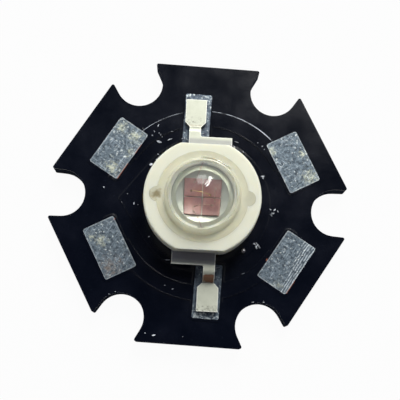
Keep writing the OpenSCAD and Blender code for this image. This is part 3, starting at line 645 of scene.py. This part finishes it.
union = optic.modifiers.new("posts", "BOOLEAN")
union.operation = "UNION"
union.object = posts
optic_mesh = bpy.data.meshes.new_from_object(optic.evaluated_get(bpy.context.evaluated_depsgraph_get()))
optic.modifiers.clear()
optic.data = optic_mesh
bpy.data.objects.remove(posts)
optic_mesh.shade_smooth()
optic_mesh.set_sharp_from_angle(angle=math.radians(35))

# Moulded polycarbonate, index near that of the gel: the dome clear and polished, its foot and the flange
# hazed by their unpolished tool. The fillet between them is clear at the rear right, where the window glints
# in it, and the left ear has a brown mark. Each row holds a finish's name, tint, milkiness and roughness,
# and the scale and strength of its ripple.
for finish, tint, milky, smooth, grain, swell in (("clear", "#fdfef8", 0.04, 0.1, 0.8, 0.015),
                                                  ("hazed", "#fcf9e2", 0.47, 0.17, 1.8, 0.6)):
    MOULDED_PC, in_mm = new_material("polycarbonate_moulded_" + finish)
    flow = add(MOULDED_PC, "TexNoise", {"Vector": in_mm, "Scale": grain, "Detail": 1.0})
    to_ear = add(MOULDED_PC, "VectorMath", {0: in_mm, 1: BROWN_EAR_MARK}, operation="DISTANCE")
    blots = add(MOULDED_PC, "TexNoise", {"Vector": in_mm, "Scale": 3.5, "Detail": 4.0})
    ragged = add(MOULDED_PC, "Math", {0: to_ear.outputs["Value"], 1: blots.outputs["Fac"]}, operation="ADD")
    brown_ear_mark = add(MOULDED_PC, "MapRange", {"Value": ragged.outputs[0], "From Min": 0.95, "From Max": 0.6,
                                          "To Max": 0.8})
    tone = add(MOULDED_PC, "MixRGB", {"Fac": brown_ear_mark.outputs[0], "Color1": linear(tint),
                                      "Color2": linear("#b09f73")})
    ripple = add(MOULDED_PC, "Bump", {"Height": flow.outputs["Fac"], "Strength": swell,
                                      "Distance": 0.02 * MM})
    finish_material(MOULDED_PC, add(MOULDED_PC, "BsdfPrincipled", {
        "Base Color": tone.outputs[0], "Roughness": smooth, "IOR": 1.5, "Transmission Weight": 1 - milky,
        "Normal": ripple.outputs[0]}))
    optic_mesh.materials.append(MOULDED_PC)
for face in optic_mesh.polygons:
    x, y, height = face.center / MM - EMITTER
    on_fillet = FLANGE_TOP + NEAR < height < FLANGE_TOP + FILLET
    glinting = on_fillet and GLINT[0] < math.degrees(math.atan2(y, x)) < GLINT[1]
    if height < HAZE_TOP and not glinting:
        face.material_index = 1
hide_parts("lens", "silicone_gel")
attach(optic, "root")


# ---- Dirt --------------------------------------------------------------------
# Soldering and handling have left flux crumbs, slivers of film and chipped ink on the mask. The larger ones
# have their places, and the small ones are strewn round them by chance.

CORNERS = 9       # of a flake's outline
INTO_MASK = 0.01  # how far the dirt is stuck in the ink

# Each row holds a flake's place, its length, its width and its turn in degrees
FLAKES = [
    (-3.11, 4.2, 0.42, 0.2, -20), (-2.37, 4.43, 0.45, 0.08, 27), (-3.11, 3.28, 0.14, 0.1, 0),
    (-3.2, 2.9, 0.13, 0.1, 40), (-3.56, 2.5, 0.36, 0.24, 10), (-3.17, 4.83, 0.12, 0.08, 0),
    (4.44, 2.25, 0.4, 0.1, 8), (4.47, 2.15, 0.28, 0.1, 100), (4.28, 4.44, 0.16, 0.1, 30),
    (3.94, 4.67, 0.12, 0.08, 0), (4.44, 4.22, 0.12, 0.08, 60), (2.4, 4.6, 0.4, 0.05, -15),
    (2.28, 4.22, 0.22, 0.1, -30), (2.94, 3.94, 0.2, 0.08, -45), (-6.74, 0.61, 0.15, 0.14, 0),
    (-3.28, -2.67, 0.18, 0.1, 20), (-1.81, -4.22, 0.52, 0.05, 3), (-1.33, -6.22, 0.22, 0.07, 25),
    (-1.9, -6.0, 0.12, 0.05, 80), (-2.39, -9.5, 0.32, 0.15, 22), (-3.0, -9.4, 0.13, 0.08, 0),
    (-0.39, -9.45, 0.09, 0.06, 0), (4.33, -6.72, 0.2, 0.06, 12), (5.06, -6.67, 0.16, 0.06, -25),
    (-5.7, -6.9, 0.18, 0.05, 10), (-5.3, -6.7, 0.14, 0.05, 20), (3.5, -4.78, 0.35, 0.05, 22)]
chance = random.Random(7)
# Each row holds a patch's middle, how far it reaches each way, and its number of small flakes
for x, y, spread_x, spread_y, count in ((-2.6, 5.2, 1.2, 0.7, 7), (4.33, -2.72, 0.22, 0.2, 9),
                                        (5.4, -0.3, 0.3, 0.25, 10), (-4.2, 0.2, 1.2, 0.8, 6)):
    for k in range(count):
        FLAKES.append((x + spread_x * chance.uniform(-1, 1), y + spread_y * chance.uniform(-1, 1),
                       chance.uniform(0.05, 0.3), chance.uniform(0.03, 0.12), chance.uniform(0, 180)))

shape = bmesh.new()
for x, y, long, wide, turn in FLAKES:
    at = Matrix.Translation((x, y, MASK_TOP - INTO_MASK)) @ Matrix.Rotation(math.radians(turn), 4, "Z")
    rim = []
    for k in range(CORNERS):
        a = math.tau * k / CORNERS
        rim.append(Vector((long / 2 * math.cos(a), wide / 2 * math.sin(a), 0)) * chance.uniform(0.7, 1.1))
    low = [shape.verts.new(at @ v) for v in rim]
    high = [shape.verts.new(at @ (v * 0.75 + Vector((0, 0, chance.uniform(0.055, 0.075))))) for v in rim]
    shape.faces.new(high)
    shape.faces.new(reversed(low))
    for k in range(CORNERS):
        nxt = (k + 1) % CORNERS
        shape.faces.new((low[k], low[nxt], high[nxt], high[k]))

# Dried flux: glassy, pale grey here and sooty there, which changes within a millimetre
DRIED_FLUX, in_mm = new_material("flux_dried")
cloud = add(DRIED_FLUX, "TexNoise", {"Vector": in_mm, "Scale": 1.3, "Detail": 5.0, "Roughness": 0.8})
burnt = add(DRIED_FLUX, "MapRange", {"Value": cloud.outputs["Fac"], "From Min": 0.35, "From Max": 0.6})
tone = add(DRIED_FLUX, "MixRGB", {"Fac": burnt.outputs[0], "Color1": linear("#39424e"),
                                  "Color2": linear("#dfe3ea")})
finish_material(DRIED_FLUX, add(DRIED_FLUX, "BsdfPrincipled", {
    "Base Color": tone.outputs[0], "Roughness": 0.3}))
place_mesh("flux_crumbs", shape, DRIED_FLUX)

# One ball of solder, thrown off as the leads were soldered, lies in front of the emitter. It froze smooth,
# so it mirrors the room.
BALL_R = 0.18
shape = bmesh.new()
bmesh.ops.create_uvsphere(shape, u_segments=32, v_segments=16, radius=BALL_R,
                          matrix=Matrix.Translation((3.39, -3.2, MASK_TOP + BALL_R - INTO_MASK)))
MOLTEN_TIN, in_mm = new_material("solder_frozen_drop")
skin = add(MOLTEN_TIN, "TexNoise", {"Vector": in_mm, "Scale": 9.0})
rough = add(MOLTEN_TIN, "MapRange", {"Value": skin.outputs["Fac"], "To Min": 0.08, "To Max": 0.2})
finish_material(MOLTEN_TIN, add(MOLTEN_TIN, "BsdfPrincipled", {
    "Base Color": linear("#a9a6a8"), "Metallic": 1.0, "Roughness": rough.outputs[0]}))
place_mesh("solder_ball", shape, MOLTEN_TIN).data.shade_smooth()


# ---- The room ----------------------------------------------------------------
# The board lies on a white table. A soft window stands behind it, a little to the right, and a faint panel
# hangs in front. The walls round the table are pale behind and dim in front, and overhead it is dark.

TABLE = 0.6                      # half the table's side, in m
LAMP_AWAY = 0.3                  # the lamps' distance from the board's centre, in m
LAMP_COLOUR = (1.0, 0.99, 0.95)  # faintly warm, as linear values

floor_mesh = bpy.data.meshes.new("floor")
floor_mesh.from_pydata([(-TABLE, -TABLE, 0), (TABLE, -TABLE, 0), (TABLE, TABLE, 0), (-TABLE, TABLE, 0)], [],
                       [(0, 1, 2, 3)])
floor = bpy.data.objects.new("floor", floor_mesh)
bpy.context.scene.collection.objects.link(floor)
PAPER, _ = new_material("paper_white_matt")
# The paper is white where the camera sees it, in gloss or through the lens too, and only lit elsewhere
seen = add(PAPER, "LightPath")
direct = seen.outputs["Is Camera Ray"]
for ray in ("Is Glossy Ray", "Is Transmission Ray"):
    direct = add(PAPER, "Math", {0: direct, 1: seen.outputs[ray]}, operation="MAXIMUM").outputs[0]
amount = add(PAPER, "Math", {0: direct, 1: 0.96}, operation="MULTIPLY")
matt = add(PAPER, "BsdfDiffuse", {"Color": linear("#b8b8b8")})
white = add(PAPER, "Emission", {"Color": linear("#ffffff"), "Strength": 1.0})
finish_material(PAPER, add(PAPER, "MixShader", {
    0: amount.outputs[0], 1: matt.outputs[0], 2: white.outputs[0]}))
floor_mesh.materials.append(PAPER)

# The window has two panes: the right one bright, the left one dimmed. A large faint panel high up in front
# fills the shadow that the dome throws forward. Each row holds a lamp's azimuth and its angle off the
# vertical in degrees, its width and its length in m, and its power in W.
for name, azimuth, zenith, wide, tall, power in (("window_right", 69, 41, 0.05, 0.18, 0.56),
                                                 ("window_left", 98, 43, 0.127, 0.16, 0.31),
                                                 ("panel_front", 250, 28, 0.2, 0.2, 0.06)):
    lamp_data = bpy.data.lights.new(name, "AREA")
    lamp_data.shape = "RECTANGLE"
    lamp_data.size = wide
    lamp_data.size_y = tall
    lamp_data.energy = power
    lamp_data.color = LAMP_COLOUR
    lamp = bpy.data.objects.new(name, lamp_data)
    bpy.context.scene.collection.objects.link(lamp)
    tilt, turn = math.radians(zenith), math.radians(azimuth)
    towards = Vector((math.sin(tilt) * math.cos(turn), math.sin(tilt) * math.sin(turn), math.cos(tilt)))
    lamp.location = towards * LAMP_AWAY
    lamp.rotation_euler = towards.to_track_quat("Z", "Y").to_euler()

# The walls: bright behind the board, dim and violet in front, dark overhead, and warm low down
world = bpy.data.worlds.new("room")
bpy.context.scene.world = world
world.use_nodes = True
world.node_tree.nodes.clear()
SKY_BLUE = (0.8, 0.9, 1.0, 1.0)  # as linear values
way = add(world, "TexCoord").outputs["Generated"]
parts = add(world, "SeparateXYZ", {0: way})
back = add(world, "MapRange", {"Value": parts.outputs["Y"], "From Min": -0.25, "From Max": 0.2,
                               "To Min": 0.03, "To Max": 0.85})
overhead = add(world, "MapRange", {"Value": parts.outputs["Z"], "From Min": 0.86, "From Max": 0.95,
                                   "To Min": 1.0, "To Max": 0.03})
level = add(world, "Math", {0: back.outputs[0], 1: overhead.outputs[0]}, operation="MULTIPLY")
upward = add(world, "MapRange", {"Value": parts.outputs["Z"], "From Min": 0.15, "From Max": 0.45})
hue = add(world, "MixRGB", {"Fac": upward.outputs[0], "Color1": linear("#dcd7c8"), "Color2": SKY_BLUE})
rear = add(world, "MapRange", {"Value": parts.outputs["Y"], "From Min": -0.4, "From Max": 0.1})
hue = add(world, "MixRGB", {"Fac": rear.outputs[0], "Color1": linear("#b4a9f0"), "Color2": hue.outputs[0]})
sky = add(world, "Background", {"Color": hue.outputs[0], "Strength": level.outputs[0]})
add(world, "OutputWorld", {"Surface": sky.outputs[0]})


# ---- Camera ------------------------------------------------------------------
# The photograph is taken from the front, 10 degrees off the vertical and 73 mm from the board. The camera
# stands where the board's outline fits the photograph's.

FOCAL_PX, FRAME_PX = 1000.809, 400            # focal length and frame width, in the photograph's pixels
AIM, AWAY = Vector((0.123, 0.489, 0)), 72.52  # the point looked at, and the camera's distance from it
# The camera's azimuth, elevation and roll
AZ, EL, ROLL = (math.radians(v) for v in (-2.259, 80.031, 6.542))
back_axis = Vector((math.sin(AZ) * math.cos(EL), -math.cos(AZ) * math.cos(EL), math.sin(EL)))
right = Vector((math.cos(AZ), math.sin(AZ), 0))
up = back_axis.cross(right)
right, up = right * math.cos(ROLL) + up * math.sin(ROLL), -right * math.sin(ROLL) + up * math.cos(ROLL)
camera_data = bpy.data.cameras.new("camera")
camera_data.sensor_width = 36
camera_data.lens = camera_data.sensor_width * FOCAL_PX / FRAME_PX
camera_data.clip_start = 0.005
camera_data.clip_end = 10
camera = bpy.data.objects.new("camera", camera_data)
bpy.context.scene.collection.objects.link(camera)
place = (AIM + back_axis * AWAY) * MM
camera.matrix_world = Matrix.Translation(place) @ Matrix((right, up, back_axis)).transposed().to_4x4()
bpy.context.scene.camera = camera
bpy.context.scene.view_settings.view_transform = "Standard"
